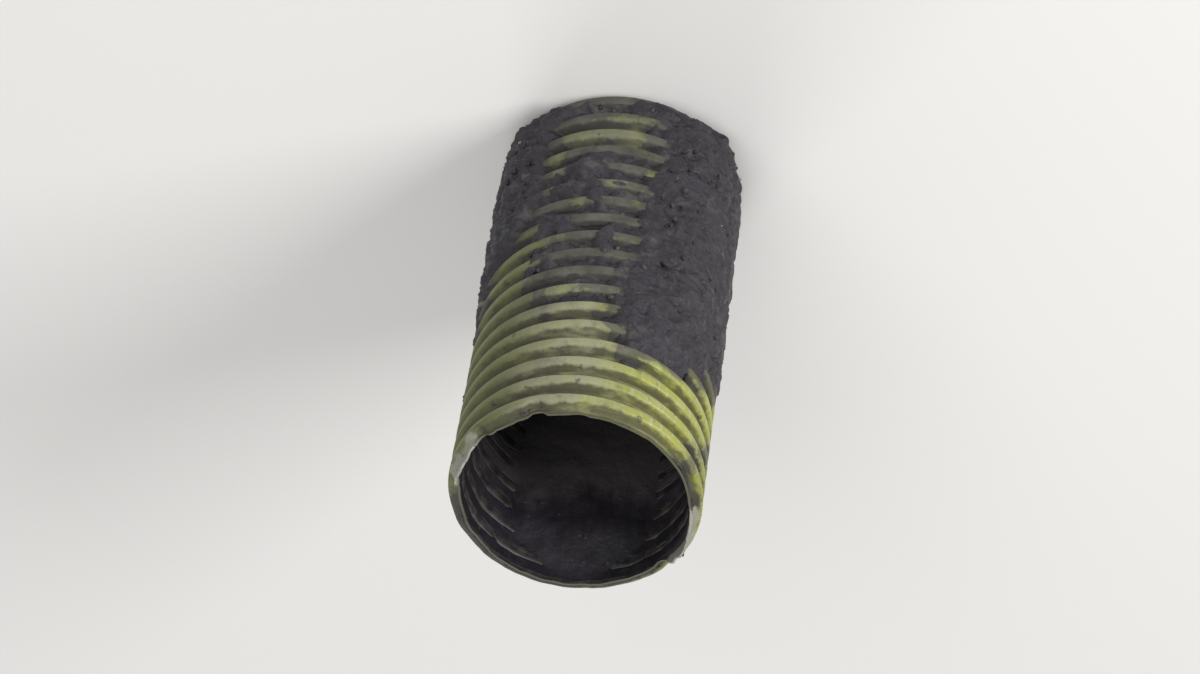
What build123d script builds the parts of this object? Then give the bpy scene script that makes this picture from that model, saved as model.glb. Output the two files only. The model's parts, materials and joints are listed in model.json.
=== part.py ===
"""A short length of ribbed, slotted land drain pipe in thin yellow plastic, standing on one end.

Its origin is on the floor, in the middle of the end it stands on, and +Z is up along the pipe.
The wall is one moulded skin of even thickness, bent into rings: crests outside, valleys between.
Water enters through short slots, cut through the floor of each valley. The side that lies
uppermost in the ground faces the front, -Y.
"""

import os

from build123d import *

# The wall and its rings, in millimetres: how wide and how high the wave is
bore_diameter = 71.6
wall = 0.7
ring_height = 3.5
crest_land = 3.4
valley_land = 3.2
flank_run = 1.2

# How long the piece is: its rings, and the stub of a valley that the cut left at each end
ring_count = 18
end_stub = 1.2

# The drainage slots, which run round the pipe, and how far from the front their first row is
slot_length = 5.0
slot_width = 1.2
slots_per_valley = 3
first_row_angle = 12.0

# What follows from them
valley_radius = bore_diameter / 2 + wall
crest_radius = valley_radius + ring_height
pitch = crest_land + valley_land + 2 * flank_run
length = ring_count * pitch - valley_land + 2 * end_stub
lowest_crest = end_stub + flank_run
row_step = 360.0 / slots_per_valley
front = -90.0


def ring_points(ring):
    """The four corners of one ring on the outside of the wall: radius, and height."""
    low = lowest_crest + ring * pitch
    high = low + crest_land
    return [
        (valley_radius, low - flank_run),
        (crest_radius, low),
        (crest_radius, high),
        (valley_radius, high + flank_run),
    ]


def every_second_valley(highest):
    """Level planes at the middle of every second valley, the highest named from the top, 0 first."""
    planes = []
    for valley in range(highest, ring_count - 1, 2):
        below_top = end_stub + flank_run + crest_land / 2 + (valley + 0.5) * pitch
        planes.append(Plane.XY.offset(length - below_top))
    return planes


with BuildPart() as drain_pipe:
    with BuildSketch(Plane.XZ):
        with BuildLine():
            corners = [corner for ring in range(ring_count) for corner in ring_points(ring)]
            outside = Polyline((valley_radius, 0), *corners, (valley_radius, length))
            offset(outside, amount=wall, side=Side.LEFT, kind=Kind.INTERSECTION)
        make_face()
    revolve(axis=Axis.Z)

    # Each slot's cutter stands in the middle of the wall. The slots of one valley lie half way
    # between those of the next.
    for highest_valley in (0, 1):
        row_angle = front - first_row_angle - highest_valley * row_step / 2
        with Locations(*every_second_valley(highest_valley)):
            with PolarLocations(valley_radius - wall / 2, slots_per_valley, row_angle):
                Box(4 * wall, slot_length, slot_width, mode=Mode.SUBTRACT)

drain_pipe.part.label = "drain_pipe"

os.makedirs("parts", exist_ok=True)
export_step(drain_pipe.part, "parts/drain_pipe.step")
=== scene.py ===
"""A short length of yellow land drain pipe, as it comes out of a wet trench.

Its ribbed wall, the mud caked on it, the silt in it and the crumbs of soil are each a piece, made
by one operator. Everything is in metres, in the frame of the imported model. The pipe stands on one
end: Z runs up to its open mouth, and the side that lay uppermost in the ground faces -Y. A turn is
an angle round the pipe from that side, positive towards -X.
"""

import json
import math
from functools import partialmethod

import bpy
import numpy as np
from mathutils import Matrix, Vector, noise


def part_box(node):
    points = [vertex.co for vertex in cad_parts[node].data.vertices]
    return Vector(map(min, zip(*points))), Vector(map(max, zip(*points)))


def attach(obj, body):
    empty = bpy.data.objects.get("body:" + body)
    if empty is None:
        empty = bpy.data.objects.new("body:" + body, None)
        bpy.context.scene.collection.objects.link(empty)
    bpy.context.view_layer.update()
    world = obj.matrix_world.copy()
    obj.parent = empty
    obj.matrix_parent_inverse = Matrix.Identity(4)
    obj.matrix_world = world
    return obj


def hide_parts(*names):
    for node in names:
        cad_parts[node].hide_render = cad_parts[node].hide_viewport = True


bl_info = {
    "name": "Land Drain Pipe",
    "version": (1, 0, 0),
    "blender": (4, 5, 0),
    "location": "3D View > Sidebar > Drain Pipe",
    "description": "Makes a muddy length of ribbed, slotted land drain pipe and the stage it is shown on",
    "category": "Object",
}

MM = 0.001
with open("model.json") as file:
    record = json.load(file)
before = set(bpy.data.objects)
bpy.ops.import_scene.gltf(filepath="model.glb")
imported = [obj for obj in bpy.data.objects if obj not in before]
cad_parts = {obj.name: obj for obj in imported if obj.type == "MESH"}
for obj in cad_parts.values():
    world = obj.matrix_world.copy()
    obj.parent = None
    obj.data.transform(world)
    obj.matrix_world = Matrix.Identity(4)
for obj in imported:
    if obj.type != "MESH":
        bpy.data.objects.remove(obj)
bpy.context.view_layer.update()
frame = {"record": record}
PIPE_LOW, PIPE_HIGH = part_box("drain_pipe")
MOUNTS = {mount["name"]: mount["dims"] for mount in frame["record"]["mounts"]}
RADII = {name: MOUNTS[name]["r_mm"] * MM for name in ("ring_crests", "bore")}

# Columns of the wall's mesh that a slot takes up
SLOT_COLUMNS = 3
# Edges of the wall that bend more than this stay sharp
SHARP_FROM = math.radians(42)

# Where mud lies. Distances are millimetres from the mouth, turns are degrees. Each outline or
# profile has two rows: where it is read, and what it is there.
SLUMP_TOP = ((0, 29, 45, 54, 82, 110, 126, 161), (50, 21, 10, 5, 8, 17, 16, 17))
SLUMP_FRONT = ((0, 21, 34, 48, 67, 94, 130, 180), (28, 29, 33, 36, 44, 56, 58, 50))
BANK_TOP = ((0, 34, 58, 68, 83, 93, 108, 127, 161), (-95, -90, -82, -68, -60, -46, -34, -28, -27))
SKIRT_TOP = ((0, 34, 60, 161), (58, 98, 104, 110))
# From here on the pipe was buried all round
BURIED_FROM = 149
# Widths of the waves in the mud's edge: the wide ones, the small ones, and those out of sight
EDGE_WAVE, EDGE_NOTCH, HIDDEN_WAVE = 17 * MM, 5 * MM, 42 * MM
# How thick mud cakes on the wall, above the valleys, in millimetres against the turn either way
CAKE = ((0, 30, 52, 72, 90, 120, 180), (4.3, 6.6, 8.0, 5.6, 4.0, 3.9, 2.8))
# How deep thin mud lies in the valleys along the crown, in millimetres
CROWN_FILL = ((42, 58, 80, 127, 134), (0, 1.4, 2.5, 2.5, 0))
# Millimetres of mud above the valleys in the skirt, underneath, and in patches on top of that
SKIRT_HEIGHT, VALLEY_FILL, PATCH_HEIGHT = 2.4, 2.6, 2.4
# Widths of the patches underneath, of those along the crown, and of the lumps on the crown
PATCH_SIZE, CROWN_PATCH_SIZE, CROWN_LUMP_SIZE = 30 * MM, 19 * MM, 9 * MM
# How mud swells from the edge of its outline: millimetres inside it, share of the full cake
SWELL = ((-2.5, 0, 2.5, 8, 16), (0, 0.3, 0.62, 0.88, 1))
# The share of the cake that the bank reaches
BANK_SHARE = 0.9
# Where there is no mud, its surface is taken to run so many millimetres below the valleys
SUNK = 0.3
# Mud gets thinner this near to the cut ends
END_TAPER = 7 * MM
# Thin mud on the wall, from 0 to 1: along the crown, round it, and how far its edge wanders
CROWN_FILM = ((0, 20, 46, 66, 130, 136, 142, 147, 151), (0.16, 0.1, 0.3, 0.95, 0.95, 0.45, 0.5, 0.8, 1))
CROWN_FILM_ROUND = ((-70, -42, -24, 18, 58), (0.1, 0.35, 1, 1, 0.1))
FILM_DRIFT = 3 * MM
# The soil's staining, which on the left is also painted shade: round the left, round the right, and along
# the pipe to where it was buried
STAIN_AND_SHADE_LEFT = ((-180, -120, -70, -34, 0), (0.7, 1, 1, 0.85, 0.1))
STAIN_RIGHT = ((20, 95, 180), (0, 0.25, 0.7))
STAIN_BURIED = ((44, 72), (0, 0.85))
# Dust, and a painted highlight, on the crown crests: round it, and along the pipe
DUST_AND_HIGHLIGHT_ROUND = ((-42, -16, 4, 30), (0.05, 1, 1, 0.05))
DUST_AND_HIGHLIGHT_ALONG = ((0, 50, 70, 130, 137), (1, 1, 0.6, 0.6, 0.62))
# Where the mouth is bent outwards and torn pale: middle and half width of each lip, in degrees
LIPS = ((-68, 20), (110, 24))
# How deep the mouth is chipped, in millimetres against the turn
CHIPS = ((-180, -70, -45, -8, 15, 70, 130, 180), (0.7, 1.5, 2.6, 2.4, 0.7, 0.7, 1.8, 0.7))
# Width of the chips, how far down they move the wall, and width of the teeth on the tongues
CHIP_SIZE, CHIP_REACH, TOOTH_SIZE = 9 * MM, 7 * MM, 3 * MM
# Without a seed of its own, the vector noise would be new in each run
STRAY_SEED = 7
# The line from the pipe to the camera, and the way that is up in the picture
SIGHT = Vector((-0.0774, -0.643, 0.762))
PICTURE_UP = Vector((0.065, -0.766, -0.640))
# Each lamp's place from the pipe's middle, the side of its square in metres, and its watts
LAMPS = {
    "key_lamp": ((-1.35, -0.8, 0.75), 0.8, 25),
    "fill_lamp": ((0.38, -0.84, 1.1), 0.9, 6),
    "back_lamp": ((0.5, 1.4, 0.9), 1.0, 9),
}


def number_value(name, description, default, least=0.0, **kind):
    """A number that the panel can change, of this unit or subtype."""
    basics = {"name": name, "description": description, "default": default, "min": least}
    return bpy.props.FloatProperty(**basics, **kind)


def length_value(name, description, default):
    """A length that the panel can change."""
    return number_value(name, description, default, precision=5, unit="LENGTH")


def count_value(name, description, default, least):
    """A whole number that the panel can change."""
    return bpy.props.IntProperty(name=name, description=description, default=default, min=least)


def colour_value(name, description, default):
    """A colour that the panel can change."""
    return bpy.props.FloatVectorProperty(
        name=name, description=description, default=default, min=0.0, max=1.0, subtype="COLOR"
    )


class WallSizes(bpy.types.PropertyGroup):
    """The wall of the pipe: its wave of rings, and the slots in the valleys between them."""

    length: length_value("Length", "From one cut end to the other", PIPE_HIGH.z - PIPE_LOW.z)
    crest_radius: length_value("Crest radius", "Outside of the rings", RADII["ring_crests"])
    bore_radius: length_value("Bore radius", "Inside of the valleys", RADII["bore"])
    wall: length_value("Wall", "Thickness of the plastic", 0.7 * MM)
    crest_land: length_value("Crest land", "Flat width of a ring", 3.4 * MM)
    valley_land: length_value("Valley land", "Flat width between two rings", 3.2 * MM)
    flank_run: length_value("Flank run", "How far a ring's side leans along the pipe", 1.2 * MM)
    corner_radius: length_value("Corner radius", "Rounding of the moulded corners", 0.8 * MM)
    slot_length: length_value("Slot length", "How far a slot runs round the pipe", 5.0 * MM)
    slot_width: length_value("Slot width", "Width of the saw that cut the slots", 1.2 * MM)
    ring_count: count_value("Rings", "How many ring crests the piece has", 18, 2)
    slots_per_valley: count_value("Slots in a valley", "Evenly spaced round it", 3, 1)
    lip_flare: length_value("Lip flare", "How far the lips at the mouth bend outwards", 1.6 * MM)
    lip_reach: length_value("Lip reach", "How far the torn lips run along the pipe", 3.0 * MM)
    tongue: length_value("Tongue", "How far the lips' torn tongues stand out of the mouth", 4.2 * MM)
    first_row: number_value(
        "First slot row",
        "Turn of the first slot in the valley nearest the mouth",
        math.radians(12),
        -math.pi,
        subtype="ANGLE",
    )

    @property
    def valley_radius(self):
        """Outside of the valleys."""
        return self.bore_radius + self.wall

    @property
    def ring_height(self):
        """How far a crest stands above a valley."""
        return self.crest_radius - self.valley_radius

    @property
    def pitch(self):
        """From one ring to the next."""
        return self.crest_land + self.valley_land + 2 * self.flank_run

    @property
    def foot(self):
        """From the middle of a ring to where its side meets the valley."""
        return self.crest_land / 2 + self.flank_run

    @property
    def lowest_ring(self):
        """Height of the middle of the lowest ring."""
        return (self.length - (self.ring_count - 1) * self.pitch) / 2

    @property
    def row_step(self):
        """Turn from one slot of a valley to the next."""
        return 2 * math.pi / self.slots_per_valley

    def radius_at(self, height, depth=0.0):
        """Radius of the surface that lies some depth below the wall's outside."""
        from_valley = self.lowest_ring - self.pitch / 2
        from_ring = np.abs((height - from_valley) % self.pitch - self.pitch / 2)
        slope = math.hypot(self.ring_height, self.flank_run) / self.flank_run
        flank = self.valley_radius + self.ring_height * (self.foot - from_ring) / self.flank_run
        return np.clip(flank - depth * slope, self.valley_radius - depth, self.crest_radius - depth)


class MudSizes(bpy.types.PropertyGroup):
    """The mud caked on the pipe."""

    columns: count_value("Columns", "Points of the mud's grid round the pipe", 240, 24)
    clod_size: length_value("Clod size", "Width of the clods", 9 * MM)
    clod_height: length_value("Clod height", "How far the clods stand up", 2.6 * MM)
    lump_size: length_value("Lump size", "Width of the small lumps", 3.2 * MM)
    lump_height: length_value("Lump height", "How far the small lumps stand up", 1.4 * MM)
    drift: length_value("Edge drift", "How far the mud's edge wanders", 4.0 * MM)
    proud: length_value("Proud", "How far mud may stand outside the pipe's box", 0.9 * MM)
    end_gap: length_value("End gap", "Bare wall left at each cut end", 0.6 * MM)


class SiltSizes(bpy.types.PropertyGroup):
    """The silt inside the pipe."""

    columns: count_value("Columns", "Points of the silt's grid round the pipe", 200, 24)
    depth: length_value("Depth", "Depth of the silt along the bottom of the bore", 8 * MM)
    lump_size: length_value("Lump size", "Width of the silt's soft lumps", 9 * MM)
    lump_height: length_value("Lump height", "How far the silt's lumps stand up", 0.5 * MM)


class CrumbSizes(bpy.types.PropertyGroup):
    """The crumbs of soil and grit that stick to the mud."""

    density: number_value("Density", "Crumbs on a square metre of mud", 26000.0)
    smallest: length_value("Smallest", "Radius of the smallest crumb", 0.25 * MM)
    largest: length_value("Largest", "Radius of the largest crumb", 1.9 * MM)
    seed: count_value("Seed", "Another seed scatters them anew", 7, 0)


class Finishes(bpy.types.PropertyGroup):
    """Colours of the plastic and the soil."""

    lemon: colour_value("Lemon", "Clean plastic", (0.275, 0.292, 0.031))
    bleached: colour_value("Bleached", "Plastic faded by the light", (0.282, 0.290, 0.061))
    # Olive is also painted shade where it covers the left flank
    olive: colour_value("Olive", "Plastic stained by wet soil", (0.067, 0.075, 0.0150))
    # Scuffed crests are also a painted highlight
    scuffed_and_highlight: colour_value("Scuffed", "Rubbed crests", (0.44, 0.435, 0.290))
    # Also a painted highlight where it pales the crown crests
    dust_and_highlight: colour_value("Dust", "Dried silt wiped thin over the plastic", (0.270, 0.268, 0.195))
    cut_edge: colour_value("Cut edge", "Plastic where the saw went through", (0.30, 0.292, 0.245))
    # Grime is also painted shade where it darkens the valleys
    grime_and_shade: colour_value("Grime", "Thin dirt lying in the valleys", (0.050, 0.048, 0.018))
    # The mud colours lean blue-violet, a painted sky reflection on top of the mud's own grey
    wet_mud: colour_value("Wet mud", "Dark, shining mud", (0.013, 0.0114, 0.0148))
    mud: colour_value("Mud", "Damp mud", (0.0275, 0.0244, 0.0311))
    dry_mud: colour_value("Dry mud", "Mud that has begun to dry", (0.079, 0.0715, 0.074))
    stone: colour_value("Stone", "The few pale stones", (0.22, 0.20, 0.18))


class StageSettings(bpy.types.PropertyGroup):
    """The floor, the lamps and the camera."""

    floor: colour_value("Floor", "Colour of the floor", (0.80, 0.79, 0.77))
    world: number_value("World", "Strength of the light from all sides", 0.37, subtype="FACTOR", max=1.0)
    distance: length_value("Distance", "From the pipe's middle to the camera", 1450 * MM)
    lens: number_value("Lens", "Focal length in millimetres", 133.0, 1.0)


class DrainPipeSettings(bpy.types.PropertyGroup):
    """All that the panel shows."""

    wall: bpy.props.PointerProperty(type=WallSizes)
    mud: bpy.props.PointerProperty(type=MudSizes)
    silt: bpy.props.PointerProperty(type=SiltSizes)
    crumbs: bpy.props.PointerProperty(type=CrumbSizes)
    finishes: bpy.props.PointerProperty(type=Finishes)
    stage: bpy.props.PointerProperty(type=StageSettings)


# Nodes, in materials and in Geometry Nodes


class Output:
    """An output of a node. What is worked out with it in a script becomes Math nodes."""

    def __init__(self, socket):
        self.socket = socket
        self.tree = socket.id_data

    def __getitem__(self, key):
        """Another output of the same node."""
        return Output(self.socket.node.outputs[key])

    def calc(self, operation, *others):
        """The result of one Math node that starts from this output."""
        return add(self.tree, "ShaderNodeMath", dict(enumerate((self, *others))), operation=operation)

    def __rsub__(self, other):
        return add(self.tree, "ShaderNodeMath", {0: other, 1: self}, operation="SUBTRACT")

    __add__ = partialmethod(calc, "ADD")
    __sub__ = partialmethod(calc, "SUBTRACT")
    __mul__ = partialmethod(calc, "MULTIPLY")
    __truediv__ = partialmethod(calc, "DIVIDE")
    __pow__ = partialmethod(calc, "POWER")
    __abs__ = partialmethod(calc, "ABSOLUTE")
    __lt__ = partialmethod(calc, "LESS_THAN")
    __gt__ = partialmethod(calc, "GREATER_THAN")
    larger = partialmethod(calc, "MAXIMUM")
    # Times the first number, and the second on top
    scaled = partialmethod(calc, "MULTIPLY_ADD")


def add(tree, kind, inputs=None, **settings):
    """The first output of a new node, each input linked to an output or set to a plain value."""
    node = tree.nodes.new(kind)
    for name, value in settings.items():
        setattr(node, name, value)
    for key, value in (inputs or {}).items():
        if isinstance(value, Output):
            tree.links.new(value.socket, node.inputs[key])
        else:
            node.inputs[key].default_value = value
    return Output(node.outputs[0]) if len(node.outputs) else None


def spread(value, low, high):
    """Spreads low to high over 0 to 1, softly at both ends."""
    inputs = {"Value": value, "From Min": low, "From Max": high}
    return add(value.tree, "ShaderNodeMapRange", inputs, interpolation_type="SMOOTHSTEP")


def split(place):
    """The three numbers of a place."""
    return add(place.tree, "ShaderNodeSeparateXYZ", {0: place})


def joined(tree, **numbers):
    """A place or a turn from its numbers."""
    return add(tree, "ShaderNodeCombineXYZ", numbers)


# Geometry Nodes


def new_tree(name, **titles):
    """A Geometry Nodes tree that takes a geometry, values named for each kind, and a material."""
    tree = bpy.data.node_groups.new(name, "GeometryNodeTree")
    for kind, names in {"Geometry": ["Geometry"], **titles, "Material": ["Material"]}.items():
        for title in names:
            tree.interface.new_socket(title, in_out="INPUT", socket_type="NodeSocket" + kind)
    tree.interface.new_socket("Geometry", in_out="OUTPUT", socket_type="NodeSocketGeometry")
    group = tree.nodes.new("NodeGroupInput")
    return tree, {socket.name: Output(socket) for socket in group.outputs if socket.name}


def end_tree(tree, geometry, material):
    """Makes the instances real, gives them their material and sends them out."""
    real = add(tree, "GeometryNodeRealizeInstances", {"Geometry": geometry})
    painted = add(tree, "GeometryNodeSetMaterial", {"Geometry": real, "Material": material})
    add(tree, "NodeGroupOutput", {0: painted})
    return tree


def run_tree(tree, source, values):
    """What the tree makes of a mesh, as a plain mesh."""
    maker = linked(tree.name, source)
    modifier = maker.modifiers.new(tree.name, "NODES")
    modifier.node_group = tree
    sockets = {item.name: item.identifier for item in tree.interface.items_tree}
    for title, value in values.items():
        modifier[sockets[title]] = value
    mesh = plain_mesh(maker)
    # The source has no material, so an empty slot comes before the one that the tree sets
    mesh.materials.pop(index=0)
    return mesh


def plain_mesh(maker):
    """The evaluated mesh of an object, which is then removed."""
    depsgraph = bpy.context.evaluated_depsgraph_get()
    mesh = bpy.data.meshes.new_from_object(maker.evaluated_get(depsgraph))
    bpy.data.objects.remove(maker)
    return mesh


def ring_wave_tree():
    """Sweeps the section of one ring round the pipe, stacks the rings and opens the slots."""
    sweep = ("Radius", "First Column", "Corner Radius", "Pitch", "Lowest Ring", "Length")
    slots = ("Slot Width", "Slot Turn", "Row Step", "First Row")
    tree, given = new_tree("Ring Wave", Int=("Columns", "Rings"), Float=sweep + slots)
    section = add(tree, "GeometryNodeMeshToCurve", {"Mesh": given["Geometry"]})
    corner = {"Curve": section, "Radius": given["Corner Radius"], "Count": 2, "Limit Radius": True}
    rounded = add(tree, "GeometryNodeFilletCurve", corner, mode="POLY")
    circle = {"Resolution": given["Columns"], "Radius": given["Radius"]}
    around = add(tree, "GeometryNodeCurvePrimitiveCircle", circle)
    swept = add(tree, "GeometryNodeCurveToMesh", {"Curve": around, "Profile Curve": rounded})
    first_column = {"Geometry": swept, "Rotation": joined(tree, Z=given["First Column"])}
    turned = add(tree, "GeometryNodeTransform", first_column)
    line = {"Count": given["Rings"], "Start Location": joined(tree, Z=given["Lowest Ring"])}
    line["Offset"] = joined(tree, Z=given["Pitch"])
    places = add(tree, "GeometryNodeMeshLine", line)
    stack = add(tree, "GeometryNodeInstanceOnPoints", {"Points": places, "Instance": turned})
    real = add(tree, "GeometryNodeRealizeInstances", {"Geometry": stack})
    merged = add(tree, "GeometryNodeMergeByDistance", {"Geometry": real, "Distance": 0.01 * MM})
    # What lies beyond a cut end is brought back to it
    x, y, z = split(add(tree, "GeometryNodeInputPosition"))
    height = add(tree, "ShaderNodeClamp", {"Value": z, "Min": 0.0, "Max": given["Length"]})
    held = {"Geometry": merged, "Position": joined(tree, X=x, Y=y, Z=height)}
    cut = add(tree, "GeometryNodeSetPosition", held)
    opening = {"Geometry": cut, "Selection": slot_faces(tree, given)}
    opened = add(tree, "GeometryNodeDeleteGeometry", opening, domain="FACE")
    return end_tree(tree, opened, given["Material"])


def slot_faces(tree, given):
    """Picks the faces that the slots take out: half a step further round in every second valley."""
    x, y, z = split(add(tree, "GeometryNodeInputPosition"))
    from_lowest = (z - given["Lowest Ring"]) / given["Pitch"]
    last_valley = given["Rings"] - 1.5
    from_mouth = last_valley - from_lowest
    valley = from_mouth.calc("ROUND")
    off_middle = abs(from_mouth - valley)
    half_width = given["Slot Width"] * 0.5 / given["Pitch"]
    turn = (x * -1.0).calc("ARCTAN2", y * -1.0)
    half_step = given["Row Step"] * 0.5
    shift = valley.calc("FLOORED_MODULO", 2.0) * half_step
    from_row = turn - given["First Row"] - shift
    off_row = abs(from_row.calc("WRAP", half_step, half_step * -1.0))
    in_slot = (off_middle < half_width) * (off_row < given["Slot Turn"] * 0.5)
    return in_slot * (valley > -0.5) * (valley < last_valley)


def crumb_tree():
    """Scatters crumbs of many sizes over the mud that shows, half sunk in it."""
    sizes = ("Density", "Smallest", "Largest")
    tree, given = new_tree("Soil Crumbs", Float=sizes, Int=("Seed",))
    room = add(tree, "GeometryNodeInputNamedAttribute", {"Name": "crumb_room"})
    place = add(tree, "GeometryNodeInputPosition")
    drifts = add(tree, "ShaderNodeTexNoise", {"Vector": place, "Scale": 55.0, "Detail": 3.0})
    density = given["Density"] * spread(drifts, 0.46, 0.62).scaled(2.4, 0.25)
    on_mud = {"Mesh": given["Geometry"], "Density": density, "Seed": given["Seed"]}
    points = add(tree, "GeometryNodeDistributePointsOnFaces", on_mud)
    chance = add(tree, "FunctionNodeRandomValue", {"Seed": given["Seed"]})[1]
    # Most crumbs are small: the chance is raised to a power
    growth = chance**3.5 * (given["Largest"] - given["Smallest"])
    size = (growth + given["Smallest"]).calc("MINIMUM", room)
    ball = add(tree, "GeometryNodeMeshUVSphere", {"Segments": 7, "Rings": 5, "Radius": 1.0})
    dents = add(tree, "ShaderNodeTexNoise", {"Vector": place, "Scale": 1.4, "Detail": 1.0})
    outward = {0: place, "Scale": dents.scaled(1.6, -0.8)}
    knobs = add(tree, "ShaderNodeVectorMath", outward, operation="SCALE")
    crumb = add(tree, "GeometryNodeSetPosition", {"Geometry": ball, "Offset": knobs})
    angles = {0: (0.0, 0.0, 0.0), 1: (math.tau, math.tau, math.tau), "Seed": 3}
    shapes = {0: (0.6, 0.55, 0.4), 1: (1.3, 1.0, 0.8), "Seed": 5}
    any_way = add(tree, "FunctionNodeRandomValue", angles, data_type="FLOAT_VECTOR")
    flattened = add(tree, "FunctionNodeRandomValue", shapes, data_type="FLOAT_VECTOR")
    scale = add(tree, "ShaderNodeVectorMath", {0: flattened, "Scale": size}, operation="SCALE")
    placed = {"Points": points, "Instance": crumb, "Rotation": any_way, "Scale": scale}
    placed["Selection"] = room > given["Smallest"]
    scattered = add(tree, "GeometryNodeInstanceOnPoints", placed)
    tone = add(tree, "FunctionNodeRandomValue", {"Seed": 11})[1]
    kept = {"Geometry": scattered, "Name": "crumb_tone", "Value": tone}
    toned = add(tree, "GeometryNodeStoreNamedAttribute", kept, domain="INSTANCE")
    return end_tree(tree, toned, given["Material"])


# Materials


def new_material(name):
    """A material without nodes."""
    material = bpy.data.materials.new(name)
    material.use_nodes = True
    material.node_tree.nodes.clear()
    return material


def new_coat(name):
    """A material, and the Object coordinates that its patterns start from."""
    material = new_material(name)
    return material, add(material.node_tree, "ShaderNodeTexCoord")["Object"]


def shaded(material, colour, dull, *bumps, gloss=0.5, bending=1.5):
    """Ends a material: its shader, and each bump's height from 0 to 1 and its millimetres."""
    tree = material.node_tree
    normal = {}
    for height, distance in bumps:
        layer = {"Height": height, "Distance": distance * MM, "Strength": 1.0, **normal}
        normal = {"Normal": add(tree, "ShaderNodeBump", layer)}
    inputs = {"Base Color": opaque(colour), "Roughness": dull, "IOR": bending, **normal}
    inputs["Specular IOR Level"] = gloss
    shader = add(tree, "ShaderNodeBsdfPrincipled", inputs)
    add(tree, "ShaderNodeOutputMaterial", {"Surface": shader})
    return material


def stretched(place, *scale):
    """Coordinates scaled by another factor along each axis."""
    return add(place.tree, "ShaderNodeMapping", {"Vector": place, "Scale": scale})


def grain(place, scale, detail=4.0, roughness=0.55):
    """Even noise, so many waves to the metre."""
    inputs = {"Vector": place, "Scale": scale, "Detail": detail, "Roughness": roughness}
    return add(place.tree, "ShaderNodeTexNoise", inputs)


def field(place, name):
    """A number that each point of the piece carries."""
    return add(place.tree, "ShaderNodeAttribute", attribute_name=name)["Fac"]


def coated(colour, *coats):
    """A colour under coats, the lowest first: the share that each covers, and its colour."""
    for share, coat in coats:
        inputs = {0: share, 6: opaque(colour), 7: opaque(coat)}
        colour = add(share.tree, "ShaderNodeMix", inputs, data_type="RGBA")[2]
    return colour


def opaque(colour):
    """An output as it is, or a colour with its fourth number."""
    return colour if isinstance(colour, Output) else (*colour[:3], 1.0)


def crest_share(place, wall):
    """0 in the valleys and 1 on the crests, with a ragged line between them."""
    x, y, _ = split(place)
    flat = joined(place.tree, X=x, Y=y)
    radius = add(place.tree, "ShaderNodeVectorMath", {0: flat}, operation="LENGTH")["Value"]
    stray = 3 * MM
    ragged = grain(place, 300, 4).scaled(stray, radius)
    low = wall.valley_radius + 0.56 * wall.ring_height + stray / 2
    return spread(ragged, low, low + 0.38 * wall.ring_height)


def wobbled(place, scale, reach):
    """Coordinates that stray a little, so that round patterns lose their roundness."""
    tree = place.tree
    inputs = {"Vector": place, "Scale": scale, "Detail": 3.0}
    stray = add(tree, "ShaderNodeTexNoise", inputs)["Color"]
    centred = add(tree, "ShaderNodeVectorMath", {0: stray, 1: (0.5, 0.5, 0.5)}, operation="SUBTRACT")
    short = add(tree, "ShaderNodeVectorMath", {0: centred, "Scale": reach}, operation="SCALE")
    return add(tree, "ShaderNodeVectorMath", {0: place, 1: short})


def splashes(place, scale, bare):
    """Drops of many sizes, 1 where they lie, in some cells: the bare share of them has none."""
    cells = add(place.tree, "ShaderNodeTexVoronoi", {"Vector": place, "Scale": scale})
    chance = add(place.tree, "ShaderNodeSeparateColor", {0: cells["Color"]})
    away = cells["Distance"] * -1.0
    return spread(spread(chance, bare, 1.0).scaled(0.36, away), 0.0, 0.12)


def creases(place, scale):
    """0 in the creases between clods and 1 away from them."""
    inputs = {"Vector": place, "Scale": scale}
    cells = add(place.tree, "ShaderNodeTexVoronoi", inputs, feature="DISTANCE_TO_EDGE")
    return spread(cells["Distance"], 0.0, 0.16)


def torn_share(place):
    """1 where the plastic of the mouth's lips is torn bare, and 0 elsewhere, with a broken edge."""
    stray = grain(place, 120, 6, 0.66).scaled(2.4, -1.25)
    return spread(field(place, "torn") + stray, 0.35, 0.75)


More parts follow.
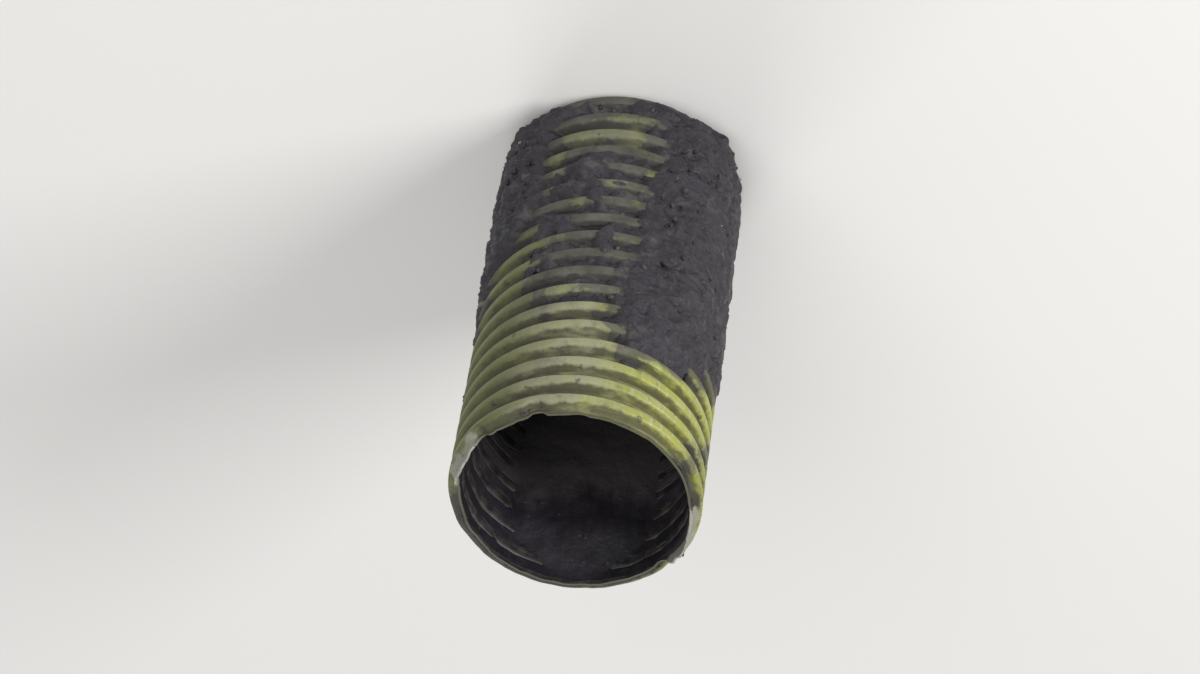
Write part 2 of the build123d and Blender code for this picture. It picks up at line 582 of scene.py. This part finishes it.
def lemon_plastic(finishes, wall):
    """The outside: faded lemon plastic, worn and silted with painted highlight on crests, dark soil with
    painted shade in valleys.
    """
    material, place = new_coat("lemon_plastic")
    crest = crest_share(place, wall)
    patches = grain(place, 48)
    smears = grain(place, 130, 7, 0.62)
    torn = torn_share(place)
    whole = 1.0 - torn
    # Water ran round the valleys, and the pipe was dragged along its length
    runs = grain(stretched(place, 120, 120, 800), 1, 4)
    scratches = grain(stretched(place, 800, 800, 130), 1, 4)
    drops = splashes(wobbled(place, 900, 1.6 * MM), 300, 0.7)
    specks = splashes(wobbled(place, 2500, 0.6 * MM), 950, 0.55)
    film = field(place, "mud_film") + smears.scaled(1.4, patches.scaled(1.5, -1.5))
    film = crest.scaled(-0.16, film)
    thin = spread(film, 0.0, 0.55) * 0.5
    film = thin.larger(spread(film, 0.3, 0.6)) * whole
    # The soil's staining, which on the left flank is also painted shade
    stain_and_shade = spread(field(place, "olive_film") + patches.scaled(0.7, -0.35), 0.15, 0.95)
    # Dust on the crown crests, which is also a painted highlight there
    dusty_and_highlit = field(place, "crown_dust") * spread(smears, 0.22, 0.5)
    # Dirt in the valleys, which is also painted shade there
    lying = (1.0 - crest) * spread(runs, 0.2, 0.55)
    # Wear on the crests, which is also a painted highlight there
    rubbed_and_highlit = crest * spread(scratches, 0.48, 0.66)
    # Thin mud dries pale on the crests and stays dark between them: also a painted highlight and painted
    # shade
    dryness_and_painted_light = crest * spread(smears, 0.35, 0.7)
    colour = coated(
        finishes.lemon,
        (spread(patches, 0.42, 0.62), finishes.bleached),
        (rubbed_and_highlit * 0.4, finishes.scuffed_and_highlight),
        (stain_and_shade * 0.85, finishes.olive),
        (dusty_and_highlit * 0.75, finishes.dust_and_highlight),
        (lying * field(place, "crown_dust").scaled(0.04, 0.86), finishes.grime_and_shade),
        (torn * 0.8, finishes.cut_edge),
        ((drops * 0.6).larger(specks * 0.3), finishes.mud),
        (film * 0.8, coated(finishes.wet_mud, (dryness_and_painted_light, finishes.dry_mud))),
    )
    dull = smears.scaled(0.25, film.larger(dusty_and_highlit).scaled(0.22, 0.34))
    # The mould's two halves left a fine seam down each side
    seam = (1.0 - spread(abs(split(place)[1]), 0.1 * MM, 0.35 * MM)) * whole
    bumps = (scratches, 0.03), (seam, 0.12), (drops, 0.12), (film * smears, 0.35)
    return shaded(material, colour, dull, *bumps, bending=1.53)


def silty_plastic(finishes):
    """The inside: the same plastic, never faded, with a skin of silt on it."""
    material, place = new_coat("silty_plastic")
    fine = grain(place, 240, 5)
    whole = 1.0 - torn_share(place)
    film = field(place, "mud_film") + fine.scaled(0.9, -0.45)
    film = spread(film, 0.05, 0.5) * whole
    soil = coated(finishes.wet_mud, (spread(fine, 0.35, 0.85), finishes.dry_mud))
    colour = coated(
        finishes.olive,
        (spread(grain(place, 60), 0.4, 0.6) * 0.35, finishes.lemon),
        (1.0 - whole, finishes.cut_edge),
        (film * 0.95, soil),
    )
    bumps = (fine, 0.25), (grain(place, 1100, 2), 0.05)
    return shaded(material, colour, fine.scaled(0.5, 0.3), *bumps)


def sawn_plastic(finishes):
    """The cut ends and the slots: pale and matt, with soil rubbed into them."""
    material, place = new_coat("sawn_plastic")
    soiled = spread(grain(place, 380, 3) + 0.85 - torn_share(place), 0.6, 1.1)
    colour = coated(finishes.cut_edge, (soiled * 0.9, finishes.grime_and_shade))
    saw_marks = grain(stretched(place, 700, 700, 2600), 1, 2)
    return shaded(material, colour, 0.6, (saw_marks, 0.08))


def trench_mud(finishes):
    """Caked clay: dark and shining where it is deep, and in its creases with painted shade; paler where
    it dries.
    """
    material, place = new_coat("trench_mud")
    clods = creases(wobbled(place, 210, 5 * MM), 150)
    lumps = grain(place, 75, 7, 0.62)
    crumbs = grain(place, 420, 5, 0.68)
    grit = splashes(wobbled(place, 1500, 0.8 * MM), 620, 0.6)
    # 0 where the mud ends and 1 where it is deep
    depth = field(place, "mud_depth")
    dryness_and_painted_light = depth.scaled(-0.18, lumps.scaled(1.5, crumbs.scaled(0.8, -0.62)))
    # The creases between the clods are darker: wetter mud, and painted shade
    dryness_and_painted_light = clods.scaled(0.16, dryness_and_painted_light)
    edge = 1.0 - spread(crumbs.scaled(0.3, depth), 0.1, 0.24)
    colour = coated(
        finishes.wet_mud,
        (spread(dryness_and_painted_light, 0.1, 0.55), finishes.mud),
        (spread(dryness_and_painted_light, 0.5, 0.95), finishes.dry_mud),
        (grit * 0.55, finishes.dry_mud),
        (edge * 0.55, finishes.olive),
    )
    dull = spread(dryness_and_painted_light, 0.1, 0.65).scaled(0.5, 0.25)
    bumps = (clods, 0.2), (lumps, 1.2), (crumbs, 0.7), (grit, 0.2)
    return shaded(material, colour, dull, *bumps, gloss=0.4)


def bore_silt(finishes, wall):
    """Fine silt that water laid down, almost smooth: darker at the mouth as painted shade, paler further
    in as painted light.
    """
    material, place = new_coat("bore_silt")
    ripples = grain(stretched(place, 160, 160, 60), 1, 4)
    crumbs = grain(place, 380, 5, 0.65)
    grit = splashes(wobbled(place, 1500, 0.8 * MM), 520, 0.72)
    # Paler silt further in is painted light inside the bore, darker silt at the mouth painted shade
    painted_light_further_in = 1.0 - spread(split(place)[2], wall.length * 0.68, wall.length * 0.95)
    dryness_and_painted_light = painted_light_further_in.scaled(0.55, ripples * 0.7)
    colour = coated(
        finishes.wet_mud,
        (spread(dryness_and_painted_light, 0.3, 0.6), finishes.mud),
        (spread(dryness_and_painted_light, 0.55, 0.85), finishes.dry_mud),
        (grit * 0.4, finishes.dry_mud),
    )
    bumps = (ripples, 0.9), (crumbs, 0.4), (grit, 0.15)
    return shaded(material, colour, crumbs.scaled(0.6, 0.25), *bumps, gloss=0.25)


def crumb_soil(finishes):
    """Crumbs of the same clay, and a few pale stones among them."""
    material, place = new_coat("crumb_soil")
    tone = field(place, "crumb_tone")
    crumbs = grain(place, 700, 4, 0.65)
    colour = coated(
        finishes.wet_mud,
        (spread(tone, 0.0, 0.45), finishes.mud),
        (spread(tone, 0.4, 0.95), finishes.dry_mud),
        (spread(crumbs, 0.5, 0.75), finishes.dry_mud),
        (spread(tone, 0.95, 0.97), finishes.stone),
    )
    return shaded(material, colour, crumbs.scaled(0.6, 0.3), (crumbs, 0.3), gloss=0.3)


def pale_floor(colour):
    """A plain, matt floor."""
    return shaded(new_material("pale_floor"), colour, 0.9)


# Shapes that are worked out point by point


def linked(name, data):
    """A new object in the scene."""
    item = bpy.data.objects.new(name, data)
    bpy.context.scene.collection.objects.link(item)
    return item


def polar(radius, turn, height):
    """Points from their radius, turn and height."""
    return np.stack(np.broadcast_arrays(-radius * np.sin(turn), -radius * np.cos(turn), height), -1)


def turn_of(points):
    """Turn of each point round the pipe."""
    return np.arctan2(-points[..., 0], -points[..., 1])


def laid_out(points, wall):
    """How far each point is from the mouth, in millimetres, and its turn in degrees."""
    return (wall.length - points[..., 2]) / MM, np.degrees(turn_of(points))


def lumpy(points, size, octaves=3):
    """Smooth random heights, from about -1 to 1, with lumps of that width."""
    flat = (points / size).reshape(-1, 3)
    values = [noise.fractal(Vector(point), 0.9, 2.1, octaves) for point in flat]
    return np.array(values).reshape(points.shape[:-1])


def strays(points):
    """A smooth random vector at each point, the same in each run."""
    noise.seed_set(STRAY_SEED)
    return np.array([noise.noise_vector(Vector(point)) for point in points])


def cloddy(points, size):
    """Rounded heights, from about -0.5 to 0.5, with creases between them, as wide as that."""
    flat = (points / size).reshape(-1, 3)
    places = flat + 0.35 * strays(1.3 * flat)
    nearest = [noise.voronoi(Vector(place))[0][0] for place in places]
    return 0.55 - np.array(nearest).reshape(points.shape[:-1])


def smooth_step(value, low, high):
    """0 below low and 1 above high."""
    share = np.clip((value - low) / (high - low), 0, 1)
    return share * share * (3 - 2 * share)


def out_of_true(points):
    """Moves the points of every piece alike: soil has pressed the pipe a little out of round."""
    oval, wander, width = 0.004, 0.16 * MM, 45 * MM
    return points * (1 + oval, 1 - oval, 1) + strays(points / width) * (wander, wander, 0)


def move_points(mesh, wall):
    """Moves a mesh as the pipe is bent: sawn at its mouth, and a little out of true."""
    put_points(mesh, out_of_true(sawn(points_of(mesh), wall)))


def put_points(mesh, points):
    """Gives a mesh's points new places."""
    mesh.vertices.foreach_set("co", points.astype(np.float32).ravel())
    mesh.update()


def points_of(mesh):
    """Places of a mesh's points, a row each."""
    points = np.zeros(len(mesh.vertices) * 3, np.float32)
    mesh.vertices.foreach_get("co", points)
    return points.reshape(-1, 3).astype(float)


def keep_fields(mesh, **fields):
    """Keeps numbers on each point of a mesh, for its material or for Geometry Nodes."""
    for name, values in fields.items():
        attribute = mesh.attributes.new(name, "FLOAT", "POINT")
        attribute.data.foreach_set("value", np.asarray(values, np.float32).ravel())


def inside_mud(points, wall, drift):
    """How far inside the outlines of slump, bank and skirt each point is, in millimetres."""
    from_mouth, turn = laid_out(points, wall)
    # Millimetres to a degree along the crests
    arc = math.radians(wall.crest_radius / MM)
    stray = drift / MM * (lumpy(points, EDGE_WAVE) + 0.55 * lumpy(points, EDGE_NOTCH, 2))
    above = (turn - np.interp(from_mouth, *SLUMP_TOP)) * arc
    behind = from_mouth - np.interp(turn, *SLUMP_FRONT)
    slump = np.minimum(above, behind) + stray
    # The edges that the soil hid from sight wander more widely
    stray += 1.3 * drift / MM * lumpy(points, HIDDEN_WAVE, 2)
    bank = (np.interp(from_mouth, *BANK_TOP) - turn) * arc + stray
    skirt = (turn - np.interp(from_mouth, *SKIRT_TOP)) * arc + stray
    buried = from_mouth - BURIED_FROM + stray
    return np.maximum(slump, buried), bank, skirt


def lip_share(points, wall, reach):
    """How much of a lip each point belongs to, from 0 to 1, where lips run so far along the pipe."""
    turn = np.degrees(turn_of(points))
    along = 1 - smooth_step(wall.length - points[..., 2], reach / 2, reach)
    shares = [1 - smooth_step(np.abs(turn - middle), half * 0.5, half) for middle, half in LIPS]
    return np.maximum(*shares) * along


def sawn(points, wall):
    """Moves the points of every piece near the mouth: sawn by hand, chipped, torn and bent out."""
    turn = turn_of(points)
    around = polar(wall.crest_radius, turn, wall.length)
    ragged = np.clip(lumpy(around, CHIP_SIZE, 4) + 0.25, 0, 1)
    torn = ragged * np.interp(np.degrees(turn), *CHIPS) * MM
    along = 1 - smooth_step(wall.length - points[:, 2], 0, CHIP_REACH)
    share = lip_share(points, wall, wall.lip_reach)
    lips = share * (0.5 + 0.8 * ragged) * wall.lip_flare
    # Between the last ring's foot and the cut, a tongue of the wall was left standing at each lip
    last = 1 - smooth_step(wall.length - points[:, 2], 0, wall.lowest_ring - wall.foot)
    jagged = np.clip(0.8 + 0.6 * lumpy(around, TOOTH_SIZE), 0.3, 1)
    tongue = smooth_step(share, 0.35, 1) * jagged * wall.tongue
    moved = points.copy()
    moved[:, 2] += last * tongue - along * torn * (1 - share)
    moved[:, :2] *= 1 + (lips * along / np.hypot(points[:, 0], points[:, 1]))[:, None]
    return moved


def mud_heights(points, wall, mud):
    """How far mud stands above the floor of the valleys at each point of the grid, in metres."""
    from_mouth, turn = laid_out(points, wall)
    slump, bank, skirt = inside_mud(points, wall, mud.drift)
    cake = np.interp(np.abs(turn), *CAKE)
    heights = np.maximum(np.interp(slump, *SWELL), BANK_SHARE * np.interp(bank, *SWELL)) * cake
    heights = np.maximum(heights, SKIRT_HEIGHT * smooth_step(skirt, -4, 3))
    # Underneath, mud fills the valleys and here and there covers the crests
    fill = VALLEY_FILL + PATCH_HEIGHT * smooth_step(lumpy(points, PATCH_SIZE), 0.02, 0.3)
    heights = np.maximum(heights, fill * smooth_step(np.abs(turn), 98, 128))
    crown = np.interp(from_mouth, *CROWN_FILL)
    crown_patches = 1 + 0.9 * smooth_step(lumpy(points, CROWN_PATCH_SIZE), -0.05, 0.25)
    crown_lumps = 0.4 * lumpy(points, CROWN_LUMP_SIZE)
    crown *= smooth_step(turn, -52, -26) * (0.8 * crown_patches + crown_lumps)
    heights = (np.maximum(heights, crown) - SUNK) * MM
    thick = smooth_step(heights, 0.3 * MM, 3.2 * MM)
    clods = mud.clod_height * (cloddy(points, mud.clod_size) + 0.35 * lumpy(points, 2 * mud.clod_size))
    lumps = mud.lump_height * lumpy(points, mud.lump_size)
    ends = np.minimum(points[..., 2], wall.length - points[..., 2])
    rounded = smooth_step(ends, mud.end_gap * 0.5, END_TAPER)
    bare = 1 - lip_share(points, wall, 1.5 * wall.lip_reach)
    heights += thick * clods + (0.15 + 0.85 * thick) * lumps
    return heights * (0.25 + 0.75 * rounded) * bare - SUNK * MM * (1 - bare)


def held_in_box(radius, turn, wall, mud):
    """Radii brought softly inside the pipe's box and what mud may stand proud of it."""
    half, soft = wall.crest_radius + mud.proud, 1.2 * MM
    most = half / np.maximum(np.abs(np.sin(turn)), np.abs(np.cos(turn)))
    over = np.maximum(radius - most + soft, 0)
    return np.where(over > 0, most - soft + soft * np.tanh(over / soft), radius)


def crumb_box(wall, mud):
    """Two corners of the box that crumbs stay in."""
    half = wall.crest_radius + mud.proud
    return np.array(((-half, -half, mud.end_gap / 2), (half, half, wall.length)))


def ring_grid(wall, gap, ring_places, columns):
    """A grid's heights and turns: the same few rows on every ring, and one row at each end."""
    rings = wall.lowest_ring + np.arange(wall.ring_count) * wall.pitch
    rows = (rings[:, None] + np.array(ring_places)[None, :] * MM).ravel()
    spare = 0.15 * MM
    rows = rows[(rows > gap + spare) & (rows < wall.length - gap - spare)]
    height = np.concatenate([[gap], rows, [wall.length - gap]])[:, None]
    return height, np.linspace(-math.pi, math.pi, columns, endpoint=False)


def without_pinches(keep):
    """Adds cells to the kept ones until no two of them meet at a corner only."""
    while True:
        right = np.roll(keep, -1, axis=1)
        low, low_right, high, high_right = keep[:-1], right[:-1], keep[1:], right[1:]
        pinched = (low == high_right) & (high == low_right) & (low != high)
        if not pinched.any():
            return keep
        for column in (pinched, np.roll(pinched, 1, axis=1)):
            keep[:-1] |= column
            keep[1:] |= column


def shell_between(name, inner, outer, shows):
    """A closed skin between two grids of points, over the cells round each point that shows."""
    around = shows | np.roll(shows, -1, axis=1)
    keep = without_pinches(around[:-1] | around[1:])
    count = shows.size
    index = np.arange(count).reshape(shows.shape)
    right = np.roll(index, -1, axis=1)
    front = np.stack([index[:-1], index[1:], right[1:], right[:-1]], axis=-1)[keep]
    edges = np.concatenate([front[:, [k, (k + 1) % 4]] for k in range(4)])
    codes = edges[:, 0] * count + edges[:, 1]
    rim = edges[~np.isin(codes, edges[:, 1] * count + edges[:, 0])]
    skirt = np.stack([rim[:, 1], rim[:, 0], rim[:, 0] + count, rim[:, 1] + count], axis=-1)
    faces = np.concatenate([front, front[:, ::-1] + count, skirt])
    used, faces = np.unique(faces, return_inverse=True)
    points = np.concatenate([outer.reshape(-1, 3), inner.reshape(-1, 3)])[used]
    mesh = bpy.data.meshes.new(name)
    mesh.from_pydata(points.tolist(), [], faces.reshape(-1, 4).tolist())
    return mesh, used % count, used < count


def finished_piece(name, mesh, *materials):
    """A smooth object of the mesh in place of an earlier one, riding on the pipe's body."""
    if name in bpy.data.objects:
        bpy.data.objects.remove(bpy.data.objects[name])
    for material in materials:
        mesh.materials.append(material)
    mesh.name = name
    mesh.shade_smooth()
    piece = linked(name, mesh)
    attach(piece, "root")
    return piece


def ring_section(wall):
    """One ring from valley middle to valley middle, as a line for the sweep."""
    slot_edge = (wall.pitch - wall.slot_width) / 2
    crest = wall.crest_land / 2
    half = [(0, wall.pitch / 2), (0, slot_edge), (0, wall.foot), (wall.ring_height, crest)]
    points = [(height, -along, 0) for height, along in half]
    points += [(height, along, 0) for height, along in reversed(half)]
    mesh = bpy.data.meshes.new("ring_section")
    mesh.from_pydata(points, [(k, k + 1) for k in range(len(points) - 1)], [])
    return mesh


def ring_values(wall, outside):
    """The ring wave's inputs. A slot is a few whole columns of the mesh, and so is a row's shift."""
    half_step = wall.row_step / 2
    slot_turn = wall.slot_length / (wall.valley_radius - wall.wall / 2)
    columns_in_shift = round(SLOT_COLUMNS * half_step / slot_turn)
    slot_turn = SLOT_COLUMNS * half_step / columns_in_shift
    return {
        "Columns": 2 * wall.slots_per_valley * columns_in_shift,
        "Radius": wall.valley_radius,
        "First Column": -math.pi / 2 - wall.first_row - slot_turn / 2,
        "Corner Radius": wall.corner_radius,
        "Rings": wall.ring_count,
        "Pitch": wall.pitch,
        "Lowest Ring": wall.lowest_ring,
        "Length": wall.length,
        "Slot Width": wall.slot_width,
        "Slot Turn": slot_turn,
        "Row Step": wall.row_step,
        "First Row": wall.first_row,
        "Material": outside,
    }


def thickened(skin, thickness):
    """The skin made a wall: its second material inside, its third on the cuts."""
    maker = linked("thickened", skin)
    solidify = maker.modifiers.new("Wall", "SOLIDIFY")
    solidify.thickness = thickness
    solidify.offset = -1
    solidify.use_even_offset = True
    solidify.material_offset = 1
    solidify.material_offset_rim = 2
    return plain_mesh(maker)


def wall_films(points, wall):
    """What lies on each point of the wall, from 0 to 1: thin mud, staining and painted shade, pale silt
    and a painted highlight.
    """
    from_mouth, turn = laid_out(points, wall)
    slump, bank, skirt = inside_mud(points, wall, FILM_DRIFT)
    near = smooth_step(np.maximum(slump, bank), -9, 1)
    near = np.maximum(near, 0.66 * smooth_step(skirt, -9, 1))
    crown = np.interp(from_mouth, *CROWN_FILM) * np.interp(turn, *CROWN_FILM_ROUND)
    inward = np.hypot(points[:, 0], points[:, 1]) < wall.radius_at(points[:, 2], wall.wall / 2)
    within = 0.45 + 0.5 * smooth_step(np.abs(turn), 60, 120)
    # The staining and the painted shade on the left end just past the crown
    left = np.interp(turn, *STAIN_AND_SHADE_LEFT) * (turn < 8)
    right = np.interp(turn, *STAIN_RIGHT)
    buried = np.interp(from_mouth, *STAIN_BURIED)
    return {
        "mud_film": np.where(inward, within, np.maximum(near, crown)),
        "olive_film": np.maximum.reduce([left, right, buried]),
        "crown_dust": np.interp(turn, *DUST_AND_HIGHLIGHT_ROUND) * np.interp(from_mouth, *DUST_AND_HIGHLIGHT_ALONG),
        "torn": lip_share(points, wall, wall.lip_reach),
    }


# The stage


def lay_floor(colour):
    """A wide floor at the pipe's foot."""
    mesh = bpy.data.meshes.new("floor")
    half = 4
    corners = [(-half, -half, 0), (half, -half, 0), (half, half, 0), (-half, half, 0)]
    mesh.from_pydata(corners, [], [(0, 1, 2, 3)])
    mesh.materials.append(pale_floor(colour))
    floor = linked("floor", mesh)


def light_world(scene, strength):
    """Even light from all sides. What the camera and gloss see of it is as pale as the floor."""
    scene.world = bpy.data.worlds.new("studio")
    scene.world.use_nodes = True
    tree = scene.world.node_tree
    tree.nodes.clear()
    path = add(tree, "ShaderNodeLightPath")
    seen = path["Is Camera Ray"].larger(path["Is Glossy Ray"]).larger(path["Is Transmission Ray"])
    light = {"Color": (1.0, 1.0, 1.0, 1.0), "Strength": strength}
    shown = {"Color": (0.80, 0.80, 0.79, 1.0), "Strength": 1.0}
    both = [add(tree, "ShaderNodeBackground", inputs) for inputs in (light, shown)]
    mixed = add(tree, "ShaderNodeMixShader", dict(enumerate((seen, *both))))
    add(tree, "ShaderNodeOutputWorld", {"Surface": mixed})


def hang_lamp(name, place, aim, side, power):
    """A square soft lamp, turned towards its aim."""
    data = bpy.data.lights.new(name, "AREA")
    data.size = side
    data.energy = power
    lamp = linked(name, data)
    lamp.location = place
    lamp.rotation_euler = (aim - place).to_track_quat("-Z", "Y").to_euler()


def set_camera(scene, stage, aim):
    """The camera, turned so that the pipe lies in the picture as it does in the photograph."""
    data = bpy.data.cameras.new("camera")
    data.lens = stage.lens
    back = SIGHT.normalized()
    right = PICTURE_UP.cross(back).normalized()
    turned = Matrix((right, back.cross(right), back)).transposed().to_4x4()
    scene.camera = linked("camera", data)
    scene.camera.matrix_world = Matrix.Translation(aim + back * stage.distance) @ turned


# The operators, one for each piece and one for the stage


class DRAIN_OT_pipe_wall(bpy.types.Operator):
    """Mould the ribbed wall, cut it to length and open its slots"""

    bl_idname = "drain.pipe_wall"
    bl_label = "Pipe Wall"
    bl_options = {"REGISTER", "UNDO"}

    def execute(self, context):
        settings = context.scene.drain_pipe
        wall, finishes = settings.wall, settings.finishes
        values = ring_values(wall, lemon_plastic(finishes, wall))
        skin = run_tree(ring_wave_tree(), ring_section(wall), values)
        skin.materials.append(silty_plastic(finishes))
        skin.materials.append(sawn_plastic(finishes))
        mesh = thickened(skin, wall.wall)
        keep_fields(mesh, **wall_films(points_of(mesh), wall))
        move_points(mesh, wall)
        piece = finished_piece("pipe_wall", mesh)
        mesh.set_sharp_from_angle(angle=SHARP_FROM)
        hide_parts("drain_pipe")
        return {"FINISHED"}


class DRAIN_OT_mud_crust(bpy.types.Operator):
    """Cake mud on the wall, thick at its back and on both sides, thin in its valleys"""

    bl_idname = "drain.mud_crust"
    bl_label = "Mud Crust"
    bl_options = {"REGISTER", "UNDO"}

    # Rows of the grid over one ring, in millimetres from its middle: its corners, and some between
    ring_places = (-4.5, -3.7, -2.9, -2.3, -1.7, -0.85, 0, 0.85, 1.7, 2.3, 2.9, 3.7)
    # Where there is no mud, the crust's two skins run this deep inside the plastic
    top_depth = 0.2 * MM
    bottom_depth = 0.32 * MM
    # The skin is kept where mud comes this near to the outside
    margin = 0.1 * MM
    # From this height on, mud has its deep colour
    deep = 4 * MM
    # A crumb needs mud that stands this high, and may reach this much further than that mud
    crumb_footing = 0.05 * MM
    crumb_extra = 0.3 * MM

    def execute(self, context):
        settings = context.scene.drain_pipe
        wall, mud = settings.wall, settings.mud
        height, turn = ring_grid(wall, mud.end_gap, self.ring_places, mud.columns)
        outside = wall.radius_at(height)
        reach = wall.valley_radius + mud_heights(polar(wall.crest_radius, turn, height), wall, mud)
        reach = held_in_box(reach, turn, wall, mud)
        top = np.maximum(reach, wall.radius_at(height, self.top_depth))
        bottom = wall.radius_at(height, self.bottom_depth)
        grids = polar(bottom, turn, height), polar(top, turn, height)
        mesh, used, on_top = shell_between("mud_crust", *grids, reach > outside - self.margin)
        if not len(mesh.polygons):
            raise RuntimeError("No mud stands above the wall: raise the cake or the outlines")
        above = (reach - outside).ravel()[used]
        keep_fields(mesh, mud_depth=np.clip(above / self.deep, 0, 1))
        move_points(mesh, wall)
        # The largest crumb that the mud can hold and the box allows, nothing on the hidden skin
        low, high = crumb_box(wall, mud)
        points = points_of(mesh)
        room = np.minimum(np.min(points - low, axis=1), np.min(high - points, axis=1))
        room = np.minimum(room, above + self.crumb_extra) * (above > self.crumb_footing)
        keep_fields(mesh, crumb_room=room * on_top)
        finished_piece("mud_crust", mesh, trench_mud(settings.finishes))
        return {"FINISHED"}


class DRAIN_OT_silt_bed(bpy.types.Operator):
    """Lay silt along the bottom of the bore and in the hollows of its rings"""

    bl_idname = "drain.silt_bed"
    bl_label = "Silt Bed"
    bl_options = {"REGISTER", "UNDO"}

    # The rows for silt, and how far below the pipe's outside its two skins run where none lies
    ring_places = (-4.5, -2.9, -2.4, -1.8, -1.2, 0, 1.2, 1.8, 2.4, 2.9)
    top_depth = 0.38 * MM
    bottom_depth = 0.25 * MM
    # The skin is kept where silt comes this near to the inside
    margin = 0.05 * MM
    # How far in from the mouth the silt begins and has its full depth
    begins, full_from = MM, 22 * MM
    # Silt fills the hollows of the rings to within this of the bore, and between these turns
    # from the bottom it is washed out of them
    short_of_bore = 0.3 * MM
    washed_out = (95, 160)

    def execute(self, context):
        settings = context.scene.drain_pipe
        wall, silt = settings.wall, settings.silt
        height, turn = ring_grid(wall, settings.mud.end_gap, self.ring_places, silt.columns)
        lumps = silt.lump_height * lumpy(polar(wall.bore_radius, turn, height), silt.lump_size)
        rising = smooth_step(wall.length - height, self.begins, self.full_from)
        level = wall.bore_radius - silt.depth * rising
        from_bottom = np.abs(np.abs(turn) - math.pi)
        bed = (level + lumps) / np.maximum(np.cos(from_bottom), 0.05)
        # Silt fills the hollows of the rings low down, and is washed out of them higher up
        washed = np.interp(from_bottom, np.radians(self.washed_out), (0.0, wall.ring_height))
        surface = np.minimum(bed, wall.bore_radius + self.short_of_bore + washed + lumps)
        surface = np.minimum(surface, wall.radius_at(height, self.top_depth))
        hidden = wall.radius_at(height, self.bottom_depth)
        shows = surface < wall.radius_at(height, wall.wall) + self.margin
        grids = polar(surface, turn, height), polar(hidden, turn, height)
        mesh, *_ = shell_between("silt_bed", *grids, shows)
        move_points(mesh, wall)
        finished_piece("silt_bed", mesh, bore_silt(settings.finishes, wall))
        return {"FINISHED"}


class DRAIN_OT_soil_crumbs(bpy.types.Operator):
    """Scatter crumbs of soil and grit over the mud"""

    bl_idname = "drain.soil_crumbs"
    bl_label = "Soil Crumbs"
    bl_options = {"REGISTER", "UNDO"}

    def execute(self, context):
        crust = bpy.data.objects.get("mud_crust")
        if crust is None:
            raise RuntimeError("Soil crumbs lie on the mud crust: make that first")
        settings = context.scene.drain_pipe
        crumbs = settings.crumbs
        values = {
            "Density": crumbs.density,
            "Smallest": crumbs.smallest,
            "Largest": crumbs.largest,
            "Seed": crumbs.seed,
            "Material": crumb_soil(settings.finishes),
        }
        mesh = run_tree(crumb_tree(), crust.data, values)
        put_points(mesh, np.clip(points_of(mesh), *crumb_box(settings.wall, settings.mud)))
        finished_piece("soil_crumbs", mesh)
        return {"FINISHED"}


class DRAIN_OT_stage(bpy.types.Operator):
    """Lay the floor, hang the soft lamps and set the camera at the photograph's angle"""

    bl_idname = "drain.stage"
    bl_label = "Stage"
    bl_options = {"REGISTER", "UNDO"}

    def execute(self, context):
        settings = context.scene.drain_pipe
        middle = Vector((0, 0, settings.wall.length / 2))
        lay_floor(settings.stage.floor)
        light_world(context.scene, settings.stage.world)
        for name, (place, side, power) in LAMPS.items():
            hang_lamp(name, middle + Vector(place), middle, side, power)
        set_camera(context.scene, settings.stage, middle)
        context.scene.view_settings.view_transform = "Standard"
        return {"FINISHED"}


class DRAIN_PT_pieces(bpy.types.Panel):
    """The pieces of the drain pipe in the order they are made, with the sizes and colours of each"""

    bl_idname = "DRAIN_PT_pieces"
    bl_label = "Drain Pipe"
    bl_space_type = "VIEW_3D"
    bl_region_type = "UI"
    bl_category = "Drain Pipe"

    def draw(self, context):
        settings = context.scene.drain_pipe
        self.values(settings.finishes)
        for operator, group in STEPS:
            self.values(getattr(settings, group)).operator(operator.bl_idname)

    def values(self, group):
        """A box with every value of a group."""
        box = self.layout.box()
        for name in group.__annotations__:
            box.prop(group, name)
        return box


# Each operator, and the group of settings that it reads
STEPS = (
    (DRAIN_OT_pipe_wall, "wall"),
    (DRAIN_OT_mud_crust, "mud"),
    (DRAIN_OT_silt_bed, "silt"),
    (DRAIN_OT_soil_crumbs, "crumbs"),
    (DRAIN_OT_stage, "stage"),
)

CLASSES = (
    WallSizes,
    MudSizes,
    SiltSizes,
    CrumbSizes,
    Finishes,
    StageSettings,
    DrainPipeSettings,
    *(operator for operator, _ in STEPS),
    DRAIN_PT_pieces,
)


def register():
    """Registers the classes and hangs the settings on the scene."""
    for kind in CLASSES:
        bpy.utils.register_class(kind)
    bpy.types.Scene.drain_pipe = bpy.props.PointerProperty(type=DrainPipeSettings)


def unregister():
    """Takes the settings off the scene and the classes away."""
    del bpy.types.Scene.drain_pipe
    for kind in reversed(CLASSES):
        bpy.utils.unregister_class(kind)


def main():
    """Makes every piece and the stage."""
    register()
    bpy.ops.drain.pipe_wall()
    bpy.ops.drain.mud_crust()
    bpy.ops.drain.silt_bed()
    bpy.ops.drain.soil_crumbs()
    bpy.ops.drain.stage()


if __name__ == "__main__":
    main()
